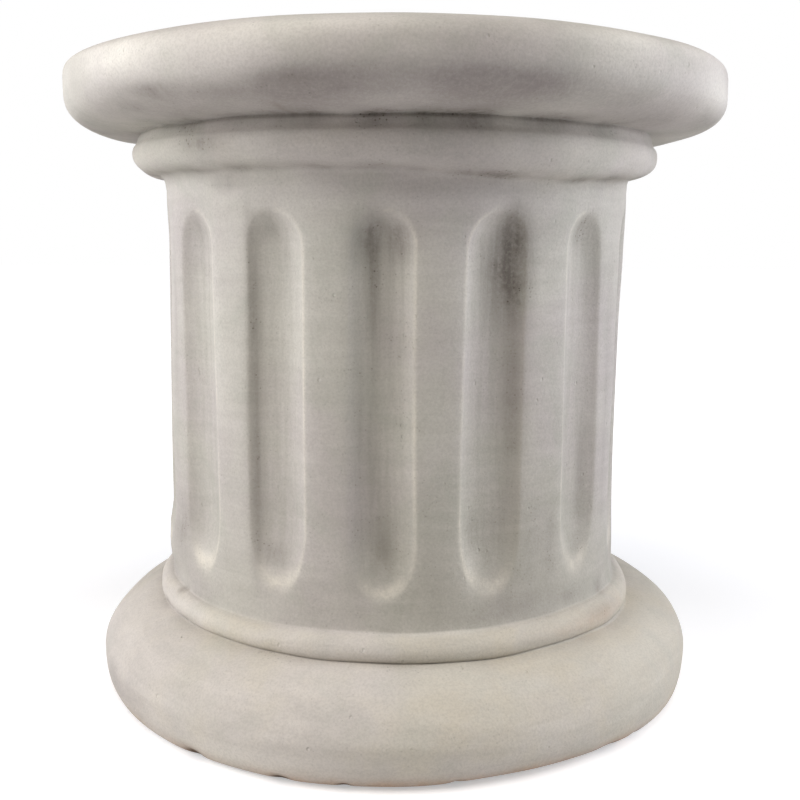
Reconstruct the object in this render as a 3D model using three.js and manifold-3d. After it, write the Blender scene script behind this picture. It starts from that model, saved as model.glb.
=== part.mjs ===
// A short Doric column, cast in one piece: a plinth-high fluted shaft between a round base and a
// round top slab, for standing a pot, a bust or a table top on.
// Millimetres, +Z up, origin at the middle of the underside.
import * as THREE from "three";
import { mergeVertices } from "three/addons/utils/BufferGeometryUtils.js";
import Module from "manifold-3d";

// Heights of the courses, from the floor up
const BASE_HEIGHT = 70.5;
const RING_HEIGHT = 21.5;
const SHAFT_HEIGHT = 320;
const ASTRAGAL_HEIGHT = 23;
const NECK_HEIGHT = 8;
const SLAB_HEIGHT = 57;

// Radii of the shaft, and how far each moulding stands out past what it sits on
const SHAFT_FOOT_RADIUS = 187;
const SHAFT_HEAD_RADIUS = 190;
const RING_PROJECTION = 15;
const BASE_PROJECTION = 48;
const ASTRAGAL_PROJECTION = 23.5;
const SLAB_PROJECTION = 50.5;

// Where each moulding is widest, above its own underside
const BASE_WIDEST_HEIGHT = 31;
const RING_WIDEST_HEIGHT = 8;
const ASTRAGAL_WIDEST_HEIGHT = 16;
const SLAB_WIDEST_HEIGHT = 33;

// Grooves, fillets and rounded edges
const FOOT_INSET = 15.5;
const RING_GROOVE_DEPTH = 3;
const NECK_SETBACK = 4;
const NECK_GROOVE_DEPTH = 6;
const SHAFT_HEAD_FILLET = 5;
const TOP_EDGE_RUN = 47;

// Fullness of each rounded edge: 2 is an ellipse, more is squarer, less is flatter
const FOOT_FULLNESS = 2.5;
const BASE_FULLNESS = 1.65;
const RING_FULLNESS = 2;
const ASTRAGAL_FULLNESS = 2;
const SLAB_UNDERSIDE_FULLNESS = 2.5;
const TOP_EDGE_FULLNESS = 2.6;

// Flutes: upright scoops with round ends, a little wider at the foot
const FLUTE_COUNT = 15;
const FLUTE_HEAD_WIDTH = 44;
const FLUTE_FOOT_WIDTH = 48;
const FLUTE_DEPTH = 11;
const FLUTE_HEAD_MARGIN = 28;
const FLUTE_FOOT_MARGIN = 22;
const FIRST_FLUTE_DEG = -92.7;
// How far outside the shaft's face the scoop's own axis runs, which makes the edges less upright
const FLUTE_AXIS_LIFT = 4;

// Facets
const BODY_FACETS = 72;
const SCOOP_FACETS = 22;
const SCOOP_END_STEPS = 4;

const COLUMN_COLOUR = 0xc9c3b8;

const wasm = await Module();
wasm.setup();

const { PI, sin, cos, atan2, sqrt, hypot } = Math;

// Quarter of a superellipse from a flat tangent at (r0, z0) to an upright one at (r1, z1),
// both ends included.
function roundedEdge(r0, z0, r1, z1, fullness, steps) {
  const points = [];
  for (let i = 0; i <= steps; i++) {
    const turn = (i / steps) * (PI / 2);
    const out = i === steps ? 1 : sin(turn) ** (2 / fullness);
    const up = i === steps ? 1 : 1 - cos(turn) ** (2 / fullness);
    points.push(new THREE.Vector2(r0 + (r1 - r0) * out, z0 + (z1 - z0) * up));
  }
  return points;
}

// The turned outline of the whole column, from the middle of the underside to the middle of the top.
function columnOutline() {
  const baseTop = BASE_HEIGHT;
  const ringTop = baseTop + RING_HEIGHT;
  const shaftTop = ringTop + SHAFT_HEIGHT;
  const astragalTop = shaftTop + ASTRAGAL_HEIGHT;
  const slabFoot = astragalTop + NECK_HEIGHT;
  const top = slabFoot + SLAB_HEIGHT;

  const ringRadius = SHAFT_FOOT_RADIUS + RING_PROJECTION;
  const baseRadius = ringRadius + BASE_PROJECTION;
  const astragalRadius = SHAFT_HEAD_RADIUS + ASTRAGAL_PROJECTION;
  const slabRadius = astragalRadius + SLAB_PROJECTION;
  const ringGroove = ringRadius - RING_GROOVE_DEPTH;
  const neckRadius = astragalRadius - NECK_SETBACK;
  const neckGroove = astragalRadius - NECK_GROOVE_DEPTH;

  const foot = roundedEdge(baseRadius - FOOT_INSET, 0, baseRadius, BASE_WIDEST_HEIGHT, FOOT_FULLNESS, 4);
  const baseBack = roundedEdge(ringGroove, baseTop, baseRadius, BASE_WIDEST_HEIGHT, BASE_FULLNESS, 7);
  const ringWidest = baseTop + RING_WIDEST_HEIGHT;
  const ringUnder = roundedEdge(ringGroove, baseTop, ringRadius, ringWidest, RING_FULLNESS, 2);
  const ringBack = roundedEdge(SHAFT_FOOT_RADIUS, ringTop, ringRadius, ringWidest, RING_FULLNESS, 4);
  const fillet = filletUnder(SHAFT_HEAD_RADIUS, shaftTop, SHAFT_HEAD_FILLET, 2);
  const astragalFoot = SHAFT_HEAD_RADIUS + SHAFT_HEAD_FILLET;
  const astragalWidest = shaftTop + ASTRAGAL_WIDEST_HEIGHT;
  const astragalUnder =
    roundedEdge(astragalFoot, shaftTop, astragalRadius, astragalWidest, ASTRAGAL_FULLNESS, 4);
  const astragalBack =
    roundedEdge(neckRadius, astragalTop, astragalRadius, astragalWidest, ASTRAGAL_FULLNESS, 3);
  const slabWidest = slabFoot + SLAB_WIDEST_HEIGHT;
  const slabUnder =
    roundedEdge(neckGroove, slabFoot, slabRadius, slabWidest, SLAB_UNDERSIDE_FULLNESS, 6);
  const slabEdge =
    roundedEdge(slabRadius - TOP_EDGE_RUN, top, slabRadius, slabWidest, TOP_EDGE_FULLNESS, 6);

  return [
    new THREE.Vector2(0, 0),
    ...foot,
    ...backwards(baseBack),
    ...ringUnder.slice(1),
    ...backwards(ringBack),
    ...fillet,
    ...astragalUnder.slice(1),
    ...backwards(astragalBack),
    ...slabUnder,
    ...backwards(slabEdge),
    new THREE.Vector2(0, top),
  ];
}

// An edge drawn outwards, walked back inwards from just after its widest point.
function backwards(points) {
  return points.slice(0, -1).reverse();
}

// Hollow quarter round between an upright face at this radius and a flat underside at this height.
function filletUnder(radius, height, size, steps) {
  const points = [];
  for (let i = 0; i <= steps; i++) {
    const turn = (i / steps) * (PI / 2);
    points.push(new THREE.Vector2(radius + size * (1 - cos(turn)), height - size * (1 - sin(turn))));
  }
  return points;
}

// A turned shape about +Z from an outline of radius and height.
function turned(outline, facets) {
  const shape = new THREE.LatheGeometry(outline, facets);
  shape.rotateX(PI / 2);
  return shape;
}

// One scoop, standing upright on the origin: a round-ended tapering bar, flattened along X.
function fluteScoop(length, axisDepth) {
  const widen = 1 / sqrt(1 - (FLUTE_AXIS_LIFT / axisDepth) ** 2);
  const footRadius = (FLUTE_FOOT_WIDTH / 2) * widen;
  const headRadius = (FLUTE_HEAD_WIDTH / 2) * widen;
  const outline = [];
  for (let i = 0; i <= SCOOP_END_STEPS; i++) {
    const turn = (i / SCOOP_END_STEPS) * (PI / 2);
    const out = i === 0 ? 0 : footRadius * sin(turn);
    outline.push(new THREE.Vector2(out, footRadius * (1 - cos(turn))));
  }
  for (let i = 0; i <= SCOOP_END_STEPS; i++) {
    const turn = (i / SCOOP_END_STEPS) * (PI / 2);
    const out = i === SCOOP_END_STEPS ? 0 : headRadius * cos(turn);
    outline.push(new THREE.Vector2(out, length - headRadius * (1 - sin(turn))));
  }
  const scoop = turned(outline, SCOOP_FACETS);
  scoop.scale(axisDepth / ((footRadius + headRadius) / 2), 1, 1);
  return scoop;
}

// A closed geometry as a solid that can be joined and cut.
function solidOf(geometry) {
  const bare = geometry.clone();
  bare.deleteAttribute("normal");
  bare.deleteAttribute("uv");
  const merged = mergeVertices(bare, 1e-3);
  const corners = merged.index.array;
  const kept = [];
  for (let i = 0; i < corners.length; i += 3) {
    const [a, b, c] = [corners[i], corners[i + 1], corners[i + 2]];
    if (a !== b && b !== c && c !== a) kept.push(a, b, c);
  }
  return new wasm.Manifold(
    new wasm.Mesh({
      numProp: 3,
      vertProperties: merged.attributes.position.array,
      triVerts: new Uint32Array(kept),
    }),
  );
}

function geometryOf(solid) {
  const mesh = solid.getMesh();
  const geometry = new THREE.BufferGeometry();
  geometry.setAttribute("position", new THREE.BufferAttribute(mesh.vertProperties, 3));
  geometry.setIndex(new THREE.BufferAttribute(mesh.triVerts, 1));
  geometry.computeVertexNormals();
  return geometry;
}

// The turned body with every flute scooped out of its shaft.
function flutedColumn() {
  let body = solidOf(turned(columnOutline(), BODY_FACETS));
  const shaftFoot = BASE_HEIGHT + RING_HEIGHT;
  const lean = atan2(SHAFT_HEAD_RADIUS - SHAFT_FOOT_RADIUS, SHAFT_HEIGHT);
  const faceLength = hypot(SHAFT_HEIGHT, SHAFT_HEAD_RADIUS - SHAFT_FOOT_RADIUS);
  const fluteLength = faceLength - FLUTE_HEAD_MARGIN - FLUTE_FOOT_MARGIN;
  for (let i = 0; i < FLUTE_COUNT; i++) {
    const scoop = fluteScoop(fluteLength, FLUTE_DEPTH + FLUTE_AXIS_LIFT);
    scoop.translate(FLUTE_AXIS_LIFT, 0, FLUTE_FOOT_MARGIN);
    scoop.rotateY(lean);
    scoop.translate(SHAFT_FOOT_RADIUS, 0, shaftFoot);
    scoop.rotateZ(THREE.MathUtils.degToRad(FIRST_FLUTE_DEG + (360 / FLUTE_COUNT) * i));
    body = body.subtract(solidOf(scoop));
  }
  return body;
}

const castStone = new THREE.MeshStandardMaterial({
  color: COLUMN_COLOUR,
  roughness: 0.85,
  metalness: 0,
});

const column = new THREE.Mesh(geometryOf(flutedColumn()), castStone);
column.name = "column";

const part = new THREE.Group();
part.add(column);

export default part;
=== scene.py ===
"""The looks of the short fluted column: one hand-finished casting with an antique stone wash."""

import math

import bpy
import numpy as np
from mathutils import Matrix, Vector


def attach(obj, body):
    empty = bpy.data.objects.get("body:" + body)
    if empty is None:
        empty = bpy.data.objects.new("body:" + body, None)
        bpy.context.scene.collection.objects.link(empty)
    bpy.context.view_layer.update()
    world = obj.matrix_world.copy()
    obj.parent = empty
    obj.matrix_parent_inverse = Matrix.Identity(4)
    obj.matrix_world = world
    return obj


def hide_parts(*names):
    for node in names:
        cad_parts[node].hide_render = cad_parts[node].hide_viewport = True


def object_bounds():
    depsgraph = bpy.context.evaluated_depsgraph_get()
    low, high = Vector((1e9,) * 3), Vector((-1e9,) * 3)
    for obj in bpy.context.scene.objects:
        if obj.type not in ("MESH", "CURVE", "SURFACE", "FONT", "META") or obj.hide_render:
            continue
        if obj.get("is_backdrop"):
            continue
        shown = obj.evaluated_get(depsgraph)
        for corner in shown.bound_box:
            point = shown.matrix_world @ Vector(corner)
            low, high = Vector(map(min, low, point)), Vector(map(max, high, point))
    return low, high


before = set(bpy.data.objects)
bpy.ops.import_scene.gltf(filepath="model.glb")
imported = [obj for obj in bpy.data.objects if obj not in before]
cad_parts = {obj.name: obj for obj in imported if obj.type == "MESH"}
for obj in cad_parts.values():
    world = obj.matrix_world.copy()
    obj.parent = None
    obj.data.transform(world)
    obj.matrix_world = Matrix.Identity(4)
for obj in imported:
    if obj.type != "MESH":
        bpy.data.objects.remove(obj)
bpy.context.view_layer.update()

MM = 0.001

# Courses of the column, in millimetres, as in the solid
HEIGHT = 500.0
BASE_TOP, RING_TOP, SHAFT_TOP, NECK_FOOT, NECK_TOP = 70.5, 92.0, 412.0, 435.0, 443.0
FOOT_RADIUS = 234.5
BASE_RADIUS, BASE_WIDEST = 249.5, 31.0
RING_RADIUS, RING_WIDEST, RING_GROOVE = 202.0, 78.5, 199.6
SHAFT_FOOT, SHAFT_HEAD, SHAFT_FILLET = 187.0, 190.0, 5.0
COVE, COVE_RUN = 3.4, 5.5
ASTRAGAL_RADIUS, ASTRAGAL_WIDEST = 213.0, 428.0
NECK_RADIUS, NECK_GROOVE = 209.5, 207.0
SLAB_RADIUS, SLAB_WIDEST, TOP_RADIUS = 263.4, 476.0, 217.0
# No corner stands out past the solid
OUTER_LIMIT = 263.9

# Fullness of each rounded edge: 2 is an ellipse, more is squarer, less is flatter
FOOT_FULLNESS, BASE_FULLNESS = 2.5, 1.65
RING_UNDER_FULLNESS, RING_FULLNESS = 2, 1.75
ASTRAGAL_FULLNESS = 2
SLAB_UNDER_FULLNESS, TOP_EDGE_FULLNESS = 2.45, 2.45

# Flutes: half widths, depth, fullness of the hollow, and how far the edges are rounded over
FLUTES = 15
FLUTE_HEAD_HALF, FLUTE_FOOT_HALF = 22.4, 24.0
FLUTE_DEPTH = 10.8
HOLLOW_FULLNESS, HOLLOW_SIDES = 2.3, 0.85
EDGE_FALL = 0.55
ARRIS_SOFTNESS = 2.0
# The floor of a flute runs out at its foot: the share of its depth that is left, and the heights
# above the flute's lowest point between which it deepens
FOOT_DEPTH_SHARE, RUN_OUT_START, RUN_OUT_END = 0.55, 4, 44
# Those in view: azimuth at the head and at the foot, lowest and highest point, slant of the head,
# and how many half widths the foot tapers over
SEEN_FLUTES = {
    -3: (-77.0, -76.5, 112.0, 383.5, 0.0, 1.8),
    -2: (-51.3, -51.6, 112.0, 383.5, 0.0, 2.1),
    -1: (-26.6, -26.8, 111.5, 384.0, -2.0, 2.3),
    0: (-2.7, -2.7, 112.5, 383.5, 0.0, 1.6),
    1: (21.6, 21.9, 112.5, 384.5, 4.0, 2.1),
    2: (47.2, 48.6, 112.5, 384.0, 2.5, 2.5),
    3: (74.5, 75.0, 112.0, 383.5, 0.0, 1.9),
}

# Columns and rows of the mesh
COLUMNS, SHAFT_ROWS = 540, 70
FOOT_ROWS, BASE_ROWS = 12, 20
RING_UNDER_ROWS, RING_ROWS = 5, 11
ASTRAGAL_UNDER_ROWS, ASTRAGAL_ROWS = 11, 6
SLAB_UNDER_ROWS, TOP_EDGE_ROWS = 19, 17
FILLET_ROWS = 4

# Azimuths of the column's outlines as the camera sees them
FAR_LEFT, FAR_RIGHT = -77, 77

random = np.random.default_rng(7)


def ramp(x, low, high):
    """0 at low, 1 at high, smooth between."""
    t = np.clip((x - low) / (high - low), 0.0, 1.0)
    return t * t * (3 - 2 * t)


def bell(x, middle, half):
    """1 at the middle, falling off either side."""
    return np.exp(-(((x - middle) / half) ** 2))


def turn_gap(az, other):
    """Difference of two azimuths in degrees, between -180 and 180."""
    return (az - other + 180.0) % 360.0 - 180.0


def round_curve(az, points):
    """Values given at some azimuths, joined smoothly round the column."""
    at = [a + turn for turn in (-360, 0, 360) for a, _ in points]
    value = [v for _ in range(3) for _, v in points]
    steps = np.arange(-360, 361, 1.0)
    padded = np.pad(np.interp(steps, at, value), 4, mode="edge")
    smooth = np.convolve(padded, np.ones(9) / 9, mode="valid")
    return np.interp(turn_gap(az, 0), steps, smooth)


def flute_places():
    """Every flute, those behind spaced evenly between the outer two of the ones in view."""
    places = dict(SEEN_FLUTES)
    last, first = max(SEEN_FLUTES), min(SEEN_FLUTES)
    start = SEEN_FLUTES[last][0]
    gaps = FLUTES - last + first
    pitch = (SEEN_FLUTES[first][0] + 360 - start) / gaps
    for k in range(1, gaps):
        middle = start + k * pitch + random.uniform(-0.5, 0.5)
        foot = middle + random.uniform(-0.4, 0.4)
        low, high = 113.5 + random.uniform(-1.5, 1.5), 383.5 + random.uniform(-1.5, 1.5)
        places[last + k] = (middle, foot, low, high, random.uniform(-3, 3), random.uniform(1.5, 2.0))
    return places


flutes = flute_places()


def columns(count):
    """Azimuths of the mesh's columns, closer together along the flutes' edges."""
    u = np.linspace(-180, 180, 36000, endpoint=False)
    weight = np.ones_like(u)
    for middle, *_ in flutes.values():
        weight += 1.6 * bell(np.abs(turn_gap(u, middle)), 7.0, 2.2)
    share = np.cumsum(weight)
    return np.interp(np.arange(count) / count, (share - share[0]) / (share[-1] - share[0]), u)


def edge(r0, z0, r1, z1, fullness, count):
    """Rounded edge from a flat tangent at (r0, z0) to an upright one at (r1, z1)."""
    t = np.linspace(0, math.pi / 2, count)[:, None]
    power = 2 / (fullness * np.ones_like(azimuth))
    out, up = np.sin(t) ** power, 1 - np.cos(t) ** power
    return r0 + (r1 - r0) * out, z0 + (z1 - z0) * up


def backwards(course, keep_inner=False):
    """The rows of an edge from its outer end inwards, without the widest row."""
    r, z = course
    stop = None if keep_inner else 0
    return r[-2:stop:-1], z[-2:stop:-1]


def level_rows(pairs):
    """Rows that are the same all round."""
    r, z = (np.array(side)[:, None] * np.ones_like(azimuth) for side in zip(*pairs))
    return r, z


def shaft_heights(count):
    """Heights up the shaft, closer together at the foot and at the ends of the flutes."""
    z = np.linspace(RING_TOP, SHAFT_TOP - SHAFT_FILLET, 1200)
    weight = 1 + 2.6 * bell(z, 124, 18) + 2.6 * bell(z, 374, 18) + 6 * bell(z, RING_TOP, 2.5)
    share = np.cumsum(weight)
    return np.interp(np.linspace(0, 1, count), (share - share[0]) / (share[-1] - share[0]), z)


azimuth = columns(COLUMNS)

# How the courses differ round the column: the slab is fuller at its sides and widest lower down on
# the right, and the foot draws in at the front right
base_radius = BASE_RADIUS + round_curve(azimuth, [(-77, -0.9), (0, 0.2), (77, 1.6), (180, 0)])
foot_radius = FOOT_RADIUS + round_curve(
    azimuth,
    [(-90, 2), (-60, 1), (-45, 2), (-20, 0), (5, -4), (18, -13), (28, -12), (36, -6), (42, -3),
     (53, 3), (62, 6), (80, 8), (180, 0)],
)
ring_radius = RING_RADIUS + round_curve(azimuth, [(-77, -1.0), (0, 0), (77, 0), (180, 0)])
ring_groove = ring_radius - (RING_RADIUS - RING_GROOVE)
base_fullness = BASE_FULLNESS + round_curve(
    azimuth, [(-77, -0.08), (0, 0), (60, 0.25), (90, 0.3), (180, 0)]
)
slab_widest = SLAB_WIDEST + round_curve(azimuth, [(-90, 0), (35, 0), (77, -7), (100, -4), (140, 0)])
under_fullness = SLAB_UNDER_FULLNESS + round_curve(
    azimuth,
    [(-90, 0.35), (-60, 0.35), (-20, 0), (36, 0), (50, -0.35), (66, -0.35), (80, -0.15), (180, 0)],
)
top_fullness = TOP_EDGE_FULLNESS + round_curve(
    azimuth,
    [(-90, 1.5), (-68, 1.5), (-58, 1.3), (-50, 0.72), (-40, 0.28), (-20, 0),
     (40, 0.3), (46, 0.78), (51, 1.05), (60, 1.35), (68, 1.45), (90, 1.4), (180, 0.1)],
)


def turned_body():
    """Radius and height of the body before the flutes are cut, row by row from the floor up."""
    shaft_z = shaft_heights(SHAFT_ROWS)
    slope = (SHAFT_HEAD - SHAFT_FOOT) / (SHAFT_TOP - RING_TOP)
    shaft = [(SHAFT_FOOT + slope * (z - RING_TOP), z) for z in shaft_z]
    turns = np.linspace(0, math.pi / 2, FILLET_ROWS + 1)[1:]
    fillet = [
        (SHAFT_HEAD + SHAFT_FILLET * (1 - math.cos(t)), SHAFT_TOP - SHAFT_FILLET * (1 - math.sin(t)))
        for t in turns
    ]
    neck = [
        (NECK_RADIUS - 0.6, NECK_FOOT + 2.5),
        (NECK_RADIUS - 1.2, NECK_FOOT + 5),
        (NECK_GROOVE + 0.4, NECK_TOP - 1.0),
        (NECK_GROOVE - 0.6, NECK_TOP),
    ]
    foot = edge(foot_radius, 0, base_radius, BASE_WIDEST, FOOT_FULLNESS, FOOT_ROWS)
    base = edge(ring_groove, BASE_TOP, base_radius, BASE_WIDEST, base_fullness, BASE_ROWS)
    under_ring = edge(
        ring_groove, BASE_TOP + 0.6, ring_radius, RING_WIDEST, RING_UNDER_FULLNESS, RING_UNDER_ROWS
    )
    ring = edge(SHAFT_FOOT + COVE, RING_TOP, ring_radius, RING_WIDEST, RING_FULLNESS, RING_ROWS)
    astragal_rim = ASTRAGAL_RADIUS, ASTRAGAL_WIDEST, ASTRAGAL_FULLNESS
    under_astragal = edge(SHAFT_HEAD + SHAFT_FILLET, SHAFT_TOP, *astragal_rim, ASTRAGAL_UNDER_ROWS)
    astragal = edge(NECK_RADIUS, NECK_FOOT, *astragal_rim, ASTRAGAL_ROWS)
    under_slab = edge(
        NECK_GROOVE, NECK_TOP + 0.5, SLAB_RADIUS, slab_widest, under_fullness, SLAB_UNDER_ROWS
    )
    top_edge = edge(TOP_RADIUS, HEIGHT, SLAB_RADIUS, slab_widest, top_fullness, TOP_EDGE_ROWS)
    courses = [
        foot,
        backwards(base),
        ((ring_groove - 0.3)[None, :], np.full((1, azimuth.size), BASE_TOP + 0.2)),
        under_ring,
        backwards(ring),
        level_rows(shaft),
        level_rows(fillet),
        tuple(side[1:] for side in under_astragal),
        backwards(astragal),
        level_rows(neck),
        under_slab,
        backwards(top_edge, keep_inner=True),
        level_rows([(170.0, HEIGHT), (90.0, HEIGHT)]),
    ]
    return np.vstack([r for r, _ in courses]), np.vstack([z for _, z in courses])


R0, Z0 = turned_body()
AZ = np.broadcast_to(azimuth, R0.shape)


def toward(middle, half):
    """1 at this azimuth, falling off either side."""
    return bell(turn_gap(AZ, middle), 0, half)


def waves(lows, highs, count, rough):
    """Smooth unevenness from -1 to 1 that closes on itself round the column."""
    total = np.zeros_like(R0)
    for _ in range(count):
        turns = int(random.integers(lows, highs))
        climb = random.uniform(-rough, rough)
        phase = random.uniform(0, 2 * math.pi)
        total += np.sin(np.radians(AZ) * turns + Z0 * climb + phase)
    return total / math.sqrt(count / 2) / 1.6


# The flutes
depth = np.zeros_like(R0)
beside = np.zeros_like(R0)
reach = np.full_like(R0, 9.0)
for head_az, foot_az, low, high, slant, taper in flutes.values():
    wide = 1 + random.uniform(-0.02, 0.02)
    deep = 1 + random.uniform(-0.06, 0.06)
    share = np.clip((Z0 - low) / (high - low), 0, 1)
    half = (FLUTE_FOOT_HALF + (FLUTE_HEAD_HALF - FLUTE_FOOT_HALF) * share) * wide
    wander = 0.7 * np.sin(Z0 / 61 + random.uniform(0, 6.28))
    side = (np.radians(turn_gap(AZ, foot_az + (head_az - foot_az) * share)) * R0 + wander) / half
    foot_end, head_end = half * taper, half * 1.1
    top = high + slant * np.clip(side, -1, 1)
    below = np.maximum(0, (low + foot_end) - Z0) / foot_end
    above = np.maximum(0, Z0 - (top - head_end)) / head_end
    rho = np.hypot(side, np.maximum(below, above))
    inside = np.clip(1 - np.minimum(rho, 1) ** HOLLOW_FULLNESS, 0, 1) ** HOLLOW_SIDES
    scoop = inside * FLUTE_DEPTH * deep - EDGE_FALL * np.maximum(0, rho - 1) * half
    run_out = ramp(Z0, low + RUN_OUT_START, low + RUN_OUT_END)
    scoop = np.where(rho < 1, scoop * (FOOT_DEPTH_SHARE + (1 - FOOT_DEPTH_SHARE) * run_out), scoop)
    depth = np.maximum(depth, ARRIS_SOFTNESS * np.logaddexp(0, scoop / ARRIS_SOFTNESS))
    nearest = rho < reach
    reach = np.where(nearest, rho, reach)
    beside = np.where(nearest, side, beside)

on_flutes = ramp(Z0, RING_TOP, RING_TOP + 14) * (1 - ramp(Z0, SHAFT_TOP - 24, SHAFT_TOP - 12))
R = R0 - depth * on_flutes

# Unevenness of the hand-finished mould
on_shaft = ramp(Z0, RING_TOP, RING_TOP + 12) * (1 - ramp(Z0, SHAFT_TOP - 10, SHAFT_TOP))
R += on_shaft * (0.45 * waves(2, 7, 8, 0.02) + 0.35 * waves(9, 22, 12, 0.05))
on_base = 1 - ramp(Z0, BASE_TOP - 12, BASE_TOP)
R += on_base * (0.5 * waves(3, 7, 6, 0.01) + 0.35 * waves(8, 20, 12, 0.06))
R = np.where(on_base > 0.5, np.minimum(R, BASE_RADIUS + 2.0), R)
on_slab = ramp(Z0, NECK_TOP + 4, NECK_TOP + 20)
R += on_slab * (R0 / SLAB_RADIUS) * (0.3 * waves(2, 6, 6, 0.01) + 0.25 * waves(8, 24, 12, 0.06))
on_astragal = ramp(Z0, SHAFT_TOP, SHAFT_TOP + 6) * (1 - ramp(Z0, NECK_TOP - 3, NECK_TOP))
R += on_astragal * (0.35 * waves(3, 9, 8, 0.02) + 0.35 * waves(12, 30, 12, 0.05))
on_ring = ramp(Z0, BASE_TOP, BASE_TOP + 4) * (1 - ramp(Z0, RING_TOP - 4, RING_TOP + 2))
R += on_ring * (0.4 * waves(3, 8, 8, 0.02) + 0.3 * waves(12, 30, 12, 0.05))

# The shaft's sides bow in and out a little: how far, at some heights, on the left and on the right
LEFT_BOW = [
    (92, 2.0), (112, 6.8), (126, 7.0), (142, 4.4), (170, 3.9), (230, 2.9), (300, 0.8), (350, -0.6),
    (400, -2.0),
]
RIGHT_BOW = [
    (92, 1.0), (112, 1.4), (150, 1.2), (230, -0.2), (300, -0.6), (345, 0.2), (375, 0.2), (400, -0.8),
]
for middle, bow in ((FAR_LEFT, LEFT_BOW), (FAR_RIGHT, RIGHT_BOW)):
    at, out = zip(*bow)
    R += on_shaft * np.interp(Z0, at, out) * toward(middle, 20)
astragal_lean = round_curve(AZ, [(-77, 0.4), (0, 0.3), (77, -0.9), (180, 0)])
R += on_astragal * astragal_lean * ramp(Z0, SHAFT_TOP + 4, ASTRAGAL_WIDEST)
# A soft cove where the shaft meets the ring
cove = COVE * np.exp(-np.maximum(Z0 - RING_TOP, 0) / COVE_RUN)
R += cove * (Z0 >= RING_TOP - 0.01) * (Z0 < SHAFT_TOP)
# The slab's sides lean in towards the top
R -= bell(Z0, 475, 10) * (0.7 * toward(80, 32) + 0.3 * toward(-80, 30))

# The courses run a little out of level
neck_line = round_curve(
    AZ,
    [(-120, 0), (-77, 1), (-58, 0), (-30, -1), (-2, -1.2), (16, -5.6), (38, -6.6), (62, -3),
     (77, 2), (120, 0)],
)
ring_top_line = round_curve(
    AZ,
    [(-120, 0), (-58, -3.3), (-32, -3.8), (-15, -1.6), (6, -2.5), (43, -2.1), (60, -4),
     (77, -9), (110, -2), (150, 0)],
)
ring_foot_line = round_curve(
    AZ,
    [(-120, 0), (-41, 1), (-22, 1), (0, 0.8), (22, -0.8), (35, 0.3), (49, -2.2), (64, -6),
     (77, -7), (110, -1), (150, 0)],
)
Z = Z0 + neck_line * bell(Z0, SHAFT_TOP, 11)
below_ring = ramp(Z0, BASE_TOP - 26, BASE_TOP)
above_ring = 1 - ramp(Z0, RING_TOP, RING_TOP + 20)
within_ring = np.clip((Z0 - BASE_TOP) / (RING_TOP - BASE_TOP), 0, 1)
ring_shift = ring_foot_line + (ring_top_line - ring_foot_line) * within_ring
Z += below_ring * above_ring * ring_shift
Z += 0.5 * waves(5, 24, 10, 0.02) * (bell(Z0, NECK_TOP, 6) + bell(Z0, SHAFT_TOP, 6))
Z += 0.4 * waves(5, 24, 10, 0.02) * (bell(Z0, RING_TOP, 5) + bell(Z0, BASE_TOP, 5))
Z += 1.5 * toward(80, 20) * bell(Z0, NECK_TOP, 5)
rim = ramp(Z0, SLAB_WIDEST + 8, HEIGHT - 3)
rim_drop = round_curve(
    AZ, [(-90, 3.0), (-60, 3.0), (-20, 0.9), (0, 1.0), (60, 1.6), (90, 2.0), (180, 0.4)]
)
Z -= rim * (rim_drop + 0.3 * (1 + waves(2, 7, 8, 0.0)))

# Chips: azimuth, height, half width, half height, depth
CHIPS = [
    # out of the foot's edge
    (-35.2, 3.0, 1.7, 4.2, 2.6), (-18.3, 2.6, 1.4, 3.2, 2.2), (-7.8, 2.4, 0.9, 3.0, 2.0),
    (10.2, 2.4, 0.9, 3.0, 2.0), (39.8, 2.4, 2.0, 3.0, 1.8), (47.0, 2.6, 0.9, 2.6, 1.6),
    (96, 3, 1.8, 4.2, 2.6), (150, 2.6, 1.4, 3.6, 2.2), (-140, 3, 2.0, 4.4, 2.6),
    # nicked into the top of the ring
    (-60.5, 90, 0.9, 2.2, 1.2), (-58.6, 92, 0.7, 2.0, 0.9), (-66, 74, 1.2, 1.6, 0.8),
    (-54, 72.5, 1.6, 1.4, 0.6), (59.0, 93, 1.3, 1.8, 1.0), (132, 91, 1.4, 2.2, 1.2),
    # under the slab
    (-18.5, 445, 0.8, 2.0, 0.9), (-150, 446, 1.2, 2.4, 1.4),
]
chip = np.zeros_like(R0)
for middle, z, half, tall, size in CHIPS:
    chip = np.maximum(chip, size * toward(middle, half) * bell(Z0, z, tall))
R -= chip

R = np.minimum(R, OUTER_LIMIT)
Z = np.clip(Z, 0.0, HEIGHT)
Z[0, :] = 0.0


# What the wash has done, as one number a corner: dirt in the hollows, cream on the worn edges; some of
# these also carry painted shade, painted shadow and painted highlights, as noted at each
def blots(list_of_blots):
    """Soft patches, each at its own azimuth and height, added up."""
    total = np.zeros_like(R0)
    for middle, z, wide, tall, strength in list_of_blots:
        total += strength * toward(middle, wide) * bell(Z0, z, tall)
    return total


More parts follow.
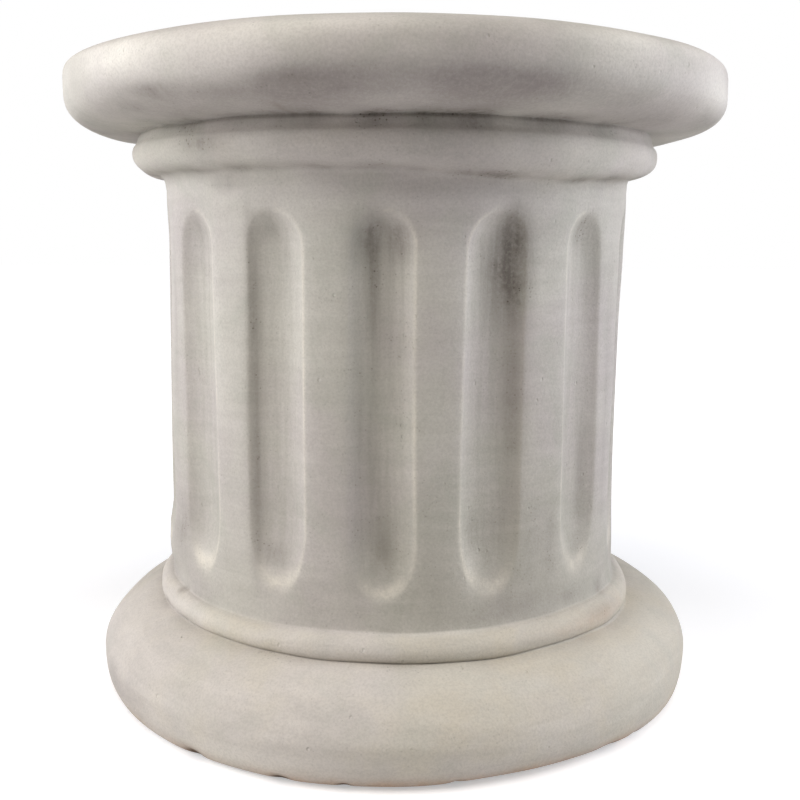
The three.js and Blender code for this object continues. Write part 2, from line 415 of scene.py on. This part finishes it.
# Azimuth, height, half width, half height, strength
STAINS = [
    # in the flutes
    (-5.4, 365, 3.2, 14, 0.6), (-4.5, 338, 1.3, 36, 0.42), (-4.6, 230, 0.9, 90, 0.18),
    (-2.5, 148, 3.4, 20, 0.38), (-7.6, 215, 1.9, 100, 0.2), (1.0, 364, 3.0, 13, 0.5),
    (-0.5, 300, 3.0, 60, 0.18), (1.5, 356, 2.6, 12, 0.2), (26.2, 349, 3.5, 36, 0.85),
    (26.4, 369, 2.8, 11, 0.25), (22.4, 340, 4.0, 26, 0.42), (27.0, 250, 1.9, 70, 0.38),
    (24.0, 150, 3.6, 30, 0.2), (17.6, 158, 0.8, 16, 0.3), (38.0, 150, 2.0, 26, 0.2),
    (-32.6, 300, 1.2, 70, 0.45), (-32.6, 190, 1.2, 60, 0.4), (-28, 372, 2.4, 8, 0.3),
    (-28.5, 138, 3.6, 9, 0.42), (60.0, 250, 2.2, 110, 0.2), (52.0, 190, 1.4, 50, 0.3),
    (50.0, 132, 3.0, 10, 0.3), (48.5, 372, 3.0, 12, 0.35), (-63.5, 310, 1.4, 70, 0.2),
    (-53.0, 372, 3.0, 10, 0.25),
    # round the astragal
    (-43, 440, 8, 4, 0.4), (-38, 427, 5.5, 6, 0.5), (-38.5, 403, 5.0, 6, 0.5), (-30, 440, 9, 3, 0.12),
    (-10, 403, 14, 5, 0.15),
    # on the slab
    (-38, 457, 5, 4.5, 0.5), (-24, 452, 6, 4, 0.3), (-44, 449, 9, 4, 0.3), (-57, 470, 5, 8, 0.2),
    (48, 447, 10, 4, 0.35), (72, 452, 12, 4, 0.35), (-76, 446, 14, 5, 0.4), (-15, 459, 5, 5, 0.3),
    (26, 442, 8, 2, 0.2),
    # round the ring
    (59, 97, 2.2, 3, 0.75), (45, 99, 9, 5, 0.3), (20, 99, 9, 4, 0.15), (-62, 138, 6, 26, 0.4),
    (30, 104, 10, 8, 0.25), (9, 140, 4, 30, 0.15), (33, 142, 4, 30, 0.2), (55, 84, 8, 5, 0.25),
    (-60, 91, 1.4, 3, 0.4), (-52, 96, 6, 5, 0.25),
]
# Out of the photograph's sight each flute has a stain at its head and a streak lower down:
# half width, then the ranges of height, half height and strength
UNSEEN = (
    (2.6, (340, 372), (14, 34), (0.3, 0.7)),
    (1.6, (130, 260), (20, 70), (0.15, 0.4)),
)
for middle, *_ in flutes.values():
    if abs(turn_gap(middle, 0)) > 60:
        for wide, heights, talls, strengths in UNSEEN:
            place = middle + random.uniform(-4, 4), random.uniform(*heights)
            STAINS.append((*place, wide, random.uniform(*talls), random.uniform(*strengths)))

stain_and_shadow = blots(STAINS)
line_noise = 0.65 + 0.35 * waves(6, 40, 14, 0.1)
in_shade = 1 - 0.6 * ramp(turn_gap(AZ, 0), 44, 62) * (1 - ramp(turn_gap(AZ, 0), 100, 130))
in_front = toward(-2, 38)
stain_and_shadow += 0.8 * bell(Z0, NECK_TOP, 1.0) * line_noise * in_front
# The neck under the slab darkens: partly dirt caught in its recess, partly painted shadow of the
# slab's overhang
on_neck = ramp(Z0, NECK_FOOT - 5, NECK_FOOT + 2) * (1 - ramp(Z0, NECK_TOP, NECK_TOP + 3))
stain_and_shadow += (0.08 + 0.45 * toward(12, 35)) * on_neck * line_noise
stain_and_shadow += (0.4 + 0.3 * toward(16, 32)) * bell(Z0, SHAFT_TOP, 2.4) * line_noise
stain_and_shadow += 0.25 * bell(Z0, BASE_TOP + 0.6, 1.8) * line_noise * in_shade
stain_and_shadow += 0.07 * bell(Z0, RING_TOP + 2, 4) * line_noise * in_shade
stain_and_shadow = np.clip(stain_and_shadow, 0, 1)

# Mauve on the slab, the astragal and the base: partly the wash's own tone, partly painted shade
# darkening the slab's front band and underside, the astragal's lower half and the base's left side
mauve_and_painted_shade = 0.8 * toward(9, 29) * bell(Z0, 460, 9)
mauve_and_painted_shade += 0.45 * toward(-30, 24) * bell(Z0, 453, 8)
mauve_and_painted_shade += 0.7 * ramp(Z0, NECK_TOP, NECK_TOP + 2) * (1 - ramp(Z0, 450, 466)) * toward(0, 60)
mauve_and_painted_shade += 0.35 * toward(8, 20) * bell(Z0, 484, 12)
mauve_and_painted_shade += 0.5 * toward(-2, 24) * bell(Z0, 422, 9)
mauve_and_painted_shade += 0.6 * toward(-57, 11) * bell(Z0, 24, 14)
mauve_and_painted_shade = np.clip(mauve_and_painted_shade * (0.85 + 0.25 * waves(3, 16, 10, 0.05)), 0, 1)

# Grey-green, darker low on the shaft
low_shaft_darkening = 0.38 * (1 - ramp(Z0, 130, 340)) * (0.4 + 0.6 * toward(24, 28))
low_shaft_darkening += 0.2 * (1 - ramp(Z0, 100, 160)) * (1 - 0.7 * toward(-4, 22))
low_shaft_darkening *= Z0 > RING_TOP + 1
low_shaft_darkening = np.clip(low_shaft_darkening * (0.9 + 0.3 * waves(3, 14, 10, 0.03)), 0, 1)

# Painted highlights, partly a whitened wash: lighter patches where the light falls on the slab, the
# astragal, the shaft, the ring and the base
pale_and_highlight = blots([
    (-35, 480, 18, 13, 1.0), (-62, 474, 16, 18, 0.35), (-12, 488, 16, 9, 0.5), (38, 487, 18, 9, 0.6),
    (-29, 463, 8, 6, 0.4), (52, 466, 20, 15, 0.7), (46, 428, 14, 9, 0.45), (-40, 452, 20, 7, 0.25),
    (-68, 330, 6, 60, 0.3), (60, 62, 18, 10, 0.4), (-44, 300, 3, 90, 0.2), (-52.5, 121, 3, 7, 0.5),
    (-26, 13, 12, 9, 0.3), (-46, 84, 10, 6, 0.25), (17.2, 130, 1.2, 12, 0.4), (150, 480, 40, 12, 0.4),
])
pale_and_highlight = np.clip(pale_and_highlight * (0.8 + 0.3 * waves(3, 16, 10, 0.05)), 0, 1)

hollow = np.clip(depth / FLUTE_DEPTH, 0, 1)
# The wash is worn off the arrises a little; along those that face the light a painted highlight is
# added
left_of_light = 1 - ramp(turn_gap(AZ, 0), 6, 12)
faces_light = np.where(beside > 0, left_of_light, 1 - left_of_light)
on_arris = bell(reach, 1.01, 0.055) * (Z0 > RING_TOP) * (Z0 < SHAFT_TOP)
wear_and_highlight = on_arris * (0.05 + 0.62 * faces_light) * (0.75 + 0.25 * waves(5, 30, 10, 0.05)) * ramp(Z0, 106, 134)
# and a painted highlight round the front of each flute's foot, where it faces up to the light
wear_and_highlight += 0.85 * bell(reach, 0.9, 0.13) * bell(Z0, 120, 13) * bell(beside, 0, 0.75)
wear_and_highlight = np.clip(wear_and_highlight, 0, 1)
# The base and the ring are creamy, the astragal less so; the foot and the ring's lower right get a
# peach tint, a painted reflection of warm light bounced up from below
cream = 1 - ramp(Z0, RING_TOP - 2.5, RING_TOP + 1.5) + 0.45 * bell(Z0, ASTRAGAL_WIDEST - 2, 9)
cream = np.clip(cream, 0, 1)
painted_warm_bounce = bell(Z0, 1, 8) * (0.5 + 0.5 * toward(24, 30) + 0.4 * waves(4, 24, 10, 0.02))
painted_warm_bounce += 0.3 * toward(50, 16) * bell(Z0, 80, 7)
painted_warm_bounce = np.clip(painted_warm_bounce, 0, 1)
# Chips are darkened; at the foot's edge the dark is painted shadow where the foot lifts off the floor
broken_and_shadowed = np.clip(chip / 1.4, 0, 1) * (0.35 + 0.65 * bell(Z0, 0, 20))


def column_mesh():
    """The closed surface: rings of corners up the outline, with a fan below and one on top."""
    rows, cols = R.shape
    a = np.radians(AZ)
    x, y = R * np.sin(a), -R * np.cos(a)
    corners = np.stack([x, y, Z], axis=-1).reshape(-1, 3)
    corners = np.vstack([corners, [[0, 0, 0], [0, 0, HEIGHT]]]) * MM
    bottom, top = rows * cols, rows * cols + 1
    i = np.arange(rows - 1)[:, None] * cols
    j = np.arange(cols)[None, :]
    k = (j + 1) % cols
    quads = np.stack([i + j, i + k, i + cols + k, i + cols + j], axis=-1).reshape(-1, 4)
    faces = quads.tolist()
    last = (rows - 1) * cols
    faces += [(bottom, (c + 1) % cols, c) for c in range(cols)]
    faces += [(top, last + c, last + (c + 1) % cols) for c in range(cols)]
    mesh = bpy.data.meshes.new("column_casting")
    mesh.from_pydata(corners.tolist(), [], faces)
    mesh.update()
    for name, field, ends in (
        ("stain_and_shadow", stain_and_shadow, (0.0, 0.1)),
        ("mauve_and_painted_shade", mauve_and_painted_shade, (0.0, 0.0)),
        ("low_shaft_darkening", low_shaft_darkening, (0.0, 0.0)),
        ("pale_and_highlight", pale_and_highlight, (0.0, 0.0)),
        ("hollow", hollow, (0.0, 0.0)),
        ("wear_and_highlight", wear_and_highlight, (0.0, 0.0)),
        ("cream", cream, (0.6, 0.2)),
        ("painted_warm_bounce", painted_warm_bounce, (1.0, 0.0)),
        ("broken_and_shadowed", broken_and_shadowed, (0.0, 0.0)),
    ):
        layer = mesh.attributes.new(name, "FLOAT", "POINT")
        layer.data.foreach_set("value", np.append(field.ravel(), ends).astype(np.float32))
    mesh.shade_smooth()
    return mesh


def srgb(red, green, blue):
    """A colour as a screen shows it, 0 to 255, turned into what a shader takes."""
    parts = [v / 255 for v in (red, green, blue)]
    return [v / 12.92 if v <= 0.04045 else ((v + 0.055) / 1.055) ** 2.4 for v in parts] + [1.0]


class Nodes:
    """Short ways to add and join shader nodes."""

    def __init__(self, material):
        material.use_nodes = True
        self.tree = material.node_tree
        self.shader = self.tree.nodes["Principled BSDF"]
        self.place = self.tree.nodes.new("ShaderNodeTexCoord").outputs["Object"]

    def put(self, socket, value):
        if isinstance(value, bpy.types.NodeSocket):
            self.tree.links.new(value, socket)
        else:
            socket.default_value = value

    def attribute(self, name):
        node = self.tree.nodes.new("ShaderNodeAttribute")
        node.attribute_name = name
        return node.outputs["Fac"]

    def scaled_place(self, x, y, z):
        node = self.tree.nodes.new("ShaderNodeMapping")
        self.put(node.inputs["Vector"], self.place)
        node.inputs["Scale"].default_value = (x, y, z)
        return node.outputs["Vector"]

    def noise(self, size, detail=4.0, rough=0.55, place=None, distortion=0.0):
        """Noise from 0 to 1, its lumps about this many metres across."""
        node = self.tree.nodes.new("ShaderNodeTexNoise")
        self.put(node.inputs["Vector"], place if place is not None else self.place)
        node.inputs["Scale"].default_value = 1 / size
        node.inputs["Detail"].default_value = detail
        node.inputs["Roughness"].default_value = rough
        node.inputs["Distortion"].default_value = distortion
        return node.outputs["Fac"]

    def spots(self, size, place=None):
        """Distance from the middle of the nearest of scattered spots."""
        node = self.tree.nodes.new("ShaderNodeTexVoronoi")
        self.put(node.inputs["Vector"], place if place is not None else self.place)
        node.inputs["Scale"].default_value = 1 / size
        return node.outputs["Distance"]

    def remap(self, value, low, high, to_low=0.0, to_high=1.0):
        node = self.tree.nodes.new("ShaderNodeMapRange")
        node.interpolation_type = "SMOOTHSTEP"
        self.put(node.inputs["Value"], value)
        node.inputs["From Min"].default_value = low
        node.inputs["From Max"].default_value = high
        node.inputs["To Min"].default_value = to_low
        node.inputs["To Max"].default_value = to_high
        return node.outputs["Result"]

    def calc(self, kind, a, b, clamp=False):
        node = self.tree.nodes.new("ShaderNodeMath")
        node.operation = kind
        node.use_clamp = clamp
        for socket, value in zip(node.inputs, (a, b)):
            self.put(socket, value)
        return node.outputs["Value"]

    def mix(self, factor, a, b):
        node = self.tree.nodes.new("ShaderNodeMix")
        node.data_type = "RGBA"
        self.put(node.inputs["Factor"], factor)
        self.put(node.inputs[6], a)
        self.put(node.inputs[7], b)
        return node.outputs[2]


# Colours of the stone, of what the wash and wear have left on it, and of the painted shade, shadow,
# highlights and reflection
STONE_WARM, STONE_COOL, STONE_GREEN = srgb(190, 183, 178), srgb(196, 192, 182), srgb(175, 175, 163)
CREAM_PALE, CREAM_YELLOW = srgb(206, 199, 189), srgb(198, 190, 173)
LOW_SHAFT_GREY_GREEN, MAUVE_PAINTED_SHADE, STREAK_GREEN = srgb(146, 142, 127), srgb(146, 138, 134), srgb(165, 162, 150)
BRUSHED_DARK, BRUSHED_LIGHT = srgb(160, 154, 144), srgb(222, 217, 208)
WHITENED_HIGHLIGHT, WORN_CREAM_HIGHLIGHT, LIGHT_DUST = srgb(240, 236, 225), srgb(226, 219, 203), srgb(230, 224, 212)
DIRT_AND_SHADOW, SPECK, GRAIN = srgb(112, 105, 98), srgb(92, 84, 72), srgb(120, 113, 106)
PEACH_BOUNCE, BROKEN_EDGE_SHADOW = srgb(190, 154, 124), srgb(92, 72, 55)
FLOOR_GREY, FLOOR_PALE = srgb(228, 228, 228), srgb(232, 232, 232)


def antique_stone():
    """The wash over the stone, with painted shade, shadow, highlights and reflection in its colour:
    colour, then roughness, then fine relief.
    """
    material = bpy.data.materials.new("antique_stone_wash")
    n = Nodes(material)
    stain_and_shadow_map, hollow_map = n.attribute("stain_and_shadow"), n.attribute("hollow")
    wear_and_highlight_map, cream_map = n.attribute("wear_and_highlight"), n.attribute("cream")
    painted_warm_bounce_map, broken_and_shadowed_map = n.attribute("painted_warm_bounce"), n.attribute("broken_and_shadowed")
    mauve_and_painted_shade_map, pale_and_highlight_map, low_shaft_darkening_map = n.attribute("mauve_and_painted_shade"), n.attribute("pale_and_highlight"), n.attribute("low_shaft_darkening")

    clouds = n.noise(0.16, 5, 0.6)
    small_clouds = n.noise(0.055, 6, 0.62, distortion=0.6)
    patches = n.noise(0.022, 6, 0.65)
    streaks = n.noise(1.0, 5, 0.6, n.scaled_place(160, 160, 9))
    grain = n.noise(0.0016, 3, 0.6)
    fine = n.noise(0.0026, 4, 0.62)
    specks = n.spots(0.0034)
    pits = n.spots(0.0105, n.scaled_place(1, 1, 0.8))

    colour = n.mix(n.remap(clouds, 0.38, 0.62), STONE_WARM, STONE_COOL)
    colour = n.mix(n.remap(small_clouds, 0.45, 0.72, 0, 0.5), colour, STONE_GREEN)
    cream_amount = n.calc("MULTIPLY", cream_map, n.remap(small_clouds, 0.3, 0.62, 1.0, 0.45))
    creams = n.mix(n.remap(clouds, 0.4, 0.6), CREAM_PALE, CREAM_YELLOW)
    colour = n.mix(cream_amount, colour, creams)

    low_shaft_amount = n.calc("MULTIPLY", low_shaft_darkening_map, n.remap(small_clouds, 0.3, 0.7, 0.7, 1.2), clamp=True)
    colour = n.mix(low_shaft_amount, colour, LOW_SHAFT_GREY_GREEN)
    brushed = n.noise(1.0, 5, 0.62, n.scaled_place(16, 16, 120), distortion=0.4)
    colour = n.mix(n.remap(brushed, 0.42, 0.7, 0, 0.15), colour, BRUSHED_DARK)
    colour = n.mix(n.remap(brushed, 0.3, 0.5, 0.11, 0), colour, BRUSHED_LIGHT)
    # Painted shade, partly the wash's mauve tone
    painted_shading = n.calc("MULTIPLY", mauve_and_painted_shade_map, n.remap(small_clouds, 0.3, 0.7, 0.75, 1.1), clamp=True)
    colour = n.mix(painted_shading, colour, MAUVE_PAINTED_SHADE)

    streaked = n.calc("MULTIPLY", hollow_map, n.remap(streaks, 0.36, 0.66, 0.05, 0.42))
    colour = n.mix(streaked, colour, STREAK_GREEN)

    # Painted highlights, partly whitened wash
    whitened_and_lit = n.calc("MULTIPLY", pale_and_highlight_map, n.remap(small_clouds, 0.3, 0.65, 1.0, 0.75), clamp=True)
    colour = n.mix(whitened_and_lit, colour, WHITENED_HIGHLIGHT)
    # Dirt, and painted shadow in the neck under the slab
    dirt_noise = n.remap(patches, 0.3, 0.7, 0.76, 1.1)
    dirt_and_shadow = n.calc("MULTIPLY", stain_and_shadow_map, dirt_noise)
    dirt_and_shadow = n.calc("MULTIPLY", dirt_and_shadow, n.remap(streaks, 0.3, 0.7, 0.75, 1.15))
    dirt_and_shadow = n.calc("MULTIPLY", dirt_and_shadow, n.remap(fine, 0.38, 0.62, 0.75, 1.15), clamp=True)
    colour = n.mix(dirt_and_shadow, colour, DIRT_AND_SHADOW)

    # Worn edges, with painted highlights on the arrises facing the light and on the flutes' feet
    worn_and_lit = n.calc("MULTIPLY", wear_and_highlight_map, n.remap(patches, 0.35, 0.6, 0.35, 0.9), clamp=True)
    colour = n.mix(worn_and_lit, colour, WORN_CREAM_HIGHLIGHT)
    # Painted warm reflection from below, in peach
    warm_bounce = n.calc("MULTIPLY", painted_warm_bounce_map, n.remap(patches, 0.35, 0.65, 0.5, 1.0), clamp=True)
    colour = n.mix(warm_bounce, colour, PEACH_BOUNCE)
    # Chips, darkened, with painted shadow at the foot's edge
    colour = n.mix(broken_and_shadowed_map, colour, BROKEN_EDGE_SHADOW)

    spread = n.calc("ADD", n.calc("MULTIPLY", stain_and_shadow_map, 0.8), 0.13)
    spread = n.calc("MULTIPLY", spread, n.remap(patches, 0.45, 0.65, 0.25, 1.6))
    speck = n.calc("MULTIPLY", n.remap(specks, 0.08, 0.26, 1.0, 0.0), spread, clamp=True)
    colour = n.mix(speck, colour, SPECK)
    colour = n.mix(n.remap(grain, 0.36, 0.6, 0.13, 0.0), colour, GRAIN)
    colour = n.mix(n.remap(fine, 0.42, 0.68, 0.0, 0.08), colour, LIGHT_DUST)
    n.put(n.shader.inputs["Base Color"], colour)

    rough = n.calc("ADD", n.remap(patches, 0.3, 0.7, 0.78, 0.92), n.calc("MULTIPLY", dirt_and_shadow, 0.05))
    n.put(n.shader.inputs["Roughness"], rough)
    n.shader.inputs["Specular IOR Level"].default_value = 0.3

    height = n.calc("MULTIPLY", grain, 0.10)
    height = n.calc("ADD", height, n.calc("MULTIPLY", fine, 0.26))
    height = n.calc("ADD", height, n.calc("MULTIPLY", patches, 0.9))
    height = n.calc("ADD", height, n.calc("MULTIPLY", n.calc("MULTIPLY", streaks, hollow_map), 0.35))
    pit = n.calc("MULTIPLY", n.remap(pits, 0.05, 0.14, 1.0, 0.0), n.remap(patches, 0.5, 0.62))
    height = n.calc("SUBTRACT", height, n.calc("MULTIPLY", pit, 0.8))
    height = n.calc("SUBTRACT", height, n.calc("MULTIPLY", speck, 0.25))
    bump = n.tree.nodes.new("ShaderNodeBump")
    bump.inputs["Distance"].default_value = 0.0009
    bump.inputs["Strength"].default_value = 0.8
    n.put(bump.inputs["Height"], height)
    n.put(n.shader.inputs["Normal"], bump.outputs["Normal"])
    return material


def add(name, data):
    made = bpy.data.objects.new(name, data)
    bpy.context.scene.collection.objects.link(made)
    return made


casting = add("column_casting", column_mesh())
casting.data.materials.append(antique_stone())
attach(casting, "root")
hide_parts("column")


# Floor and light
def pale_floor():
    material = bpy.data.materials.new("pale_floor")
    n = Nodes(material)
    tone = n.mix(n.noise(0.4, 3), FLOOR_GREY, FLOOR_PALE)
    n.put(n.shader.inputs["Base Color"], tone)
    n.shader.inputs["Roughness"].default_value = 0.9
    n.shader.inputs["Specular IOR Level"].default_value = 0.1
    # Away from the column the floor is as white as the backdrop, so no horizon shows
    length = n.tree.nodes.new("ShaderNodeVectorMath")
    length.operation = "LENGTH"
    n.put(length.inputs[0], n.place)
    glow = n.remap(length.outputs["Value"], 0.3, 1.6, 0.4, 1.0)
    seen = n.tree.nodes.new("ShaderNodeLightPath").outputs["Is Camera Ray"]
    n.shader.inputs["Emission Color"].default_value = (1, 1, 1, 1)
    n.put(n.shader.inputs["Emission Strength"], n.calc("MULTIPLY", glow, seen))
    return material


FLOOR_HALF, FLOOR_GAP = 12.0, 0.0004
floor_mesh = bpy.data.meshes.new("floor")
floor_corners = [(x * FLOOR_HALF, y * FLOOR_HALF, 0) for x, y in ((-1, -1), (1, -1), (1, 1), (-1, 1))]
floor_mesh.from_pydata(floor_corners, [], [(0, 1, 2, 3)])
floor_mesh.materials.append(pale_floor())
floor = add("floor", floor_mesh)
floor.location.z = -FLOOR_GAP
floor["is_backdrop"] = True


def softbox(name, place, power, colour):
    """A square soft light, aimed at the middle of the column."""
    light = bpy.data.lights.new(name, "AREA")
    light.shape = "RECTANGLE"
    light.size, light.size_y = SOFTBOX_SIZE, SOFTBOX_SIZE
    light.energy = power
    light.color = colour
    lamp = add(name, light)
    lamp.location = place
    lamp.rotation_mode = "QUATERNION"
    lamp.rotation_quaternion = (Vector(MIDDLE) - Vector(place)).to_track_quat("-Z", "Y")


def round_about(azimuth, elevation, away):
    """A place this far from the middle of the column, in that direction."""
    a, e = math.radians(azimuth), math.radians(elevation)
    out = away * math.cos(e)
    return (out * math.sin(a), -out * math.cos(a), ORBIT_HEIGHT + away * math.sin(e))


MIDDLE, ORBIT_HEIGHT = (0, 0, 0.28), 0.3
SOFTBOX_SIZE, SOFTBOX_AWAY, OVERHEAD_AWAY = 1.4, 2.2, 2.1
COOL, WARM = (0.96, 0.985, 1.075), (1.04, 0.99, 0.93)
softbox("left_softbox", round_about(-85, 20, SOFTBOX_AWAY), 33.0, COOL)
softbox("right_softbox", round_about(85, 20, SOFTBOX_AWAY), 41.0, COOL)
softbox("near_left_softbox", round_about(-60, 20, SOFTBOX_AWAY), 14.5, WARM)
softbox("overhead_softbox", round_about(0, 60, OVERHEAD_AWAY), 21.0, WARM)

world = bpy.data.worlds.new("studio")
bpy.context.scene.world = world
world.use_nodes = True
back = world.node_tree.nodes["Background"]
back.inputs["Color"].default_value = (1, 1, 1, 1)
seen = world.node_tree.nodes.new("ShaderNodeLightPath").outputs["Is Camera Ray"]
white = world.node_tree.nodes.new("ShaderNodeMapRange")
white.inputs["To Min"].default_value = 0.02
white.inputs["To Max"].default_value = 1.0
world.node_tree.links.new(seen, white.inputs["Value"])
world.node_tree.links.new(white.outputs["Result"], back.inputs["Strength"])

# Camera, from the circles of the slab, shaft and base in the photograph
CAMERA_BACK, CAMERA_HEIGHT = 0.86965, 0.36475
YAW, PITCH, ROLL = math.radians(0.304), math.radians(-9.06), math.radians(0.354)
FOCAL_PIXELS, IMAGE_PIXELS = 1014.45, 800

ahead = Vector((math.sin(YAW) * math.cos(PITCH), math.cos(YAW) * math.cos(PITCH), math.sin(PITCH)))
level_right = Vector((math.cos(YAW), -math.sin(YAW), 0))
level_up = level_right.cross(ahead)
right = math.cos(ROLL) * level_right + math.sin(ROLL) * level_up
up = -math.sin(ROLL) * level_right + math.cos(ROLL) * level_up
lens = bpy.data.cameras.new("camera")
lens.sensor_width = 36.0
lens.lens = FOCAL_PIXELS / IMAGE_PIXELS * lens.sensor_width
camera = add("camera", lens)
turn = Matrix((right, up, -ahead)).transposed().to_4x4()
camera.matrix_world = Matrix.Translation((0, -CAMERA_BACK, CAMERA_HEIGHT)) @ turn
bpy.context.scene.camera = camera

bpy.context.scene.view_settings.view_transform = "Standard"

low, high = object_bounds()
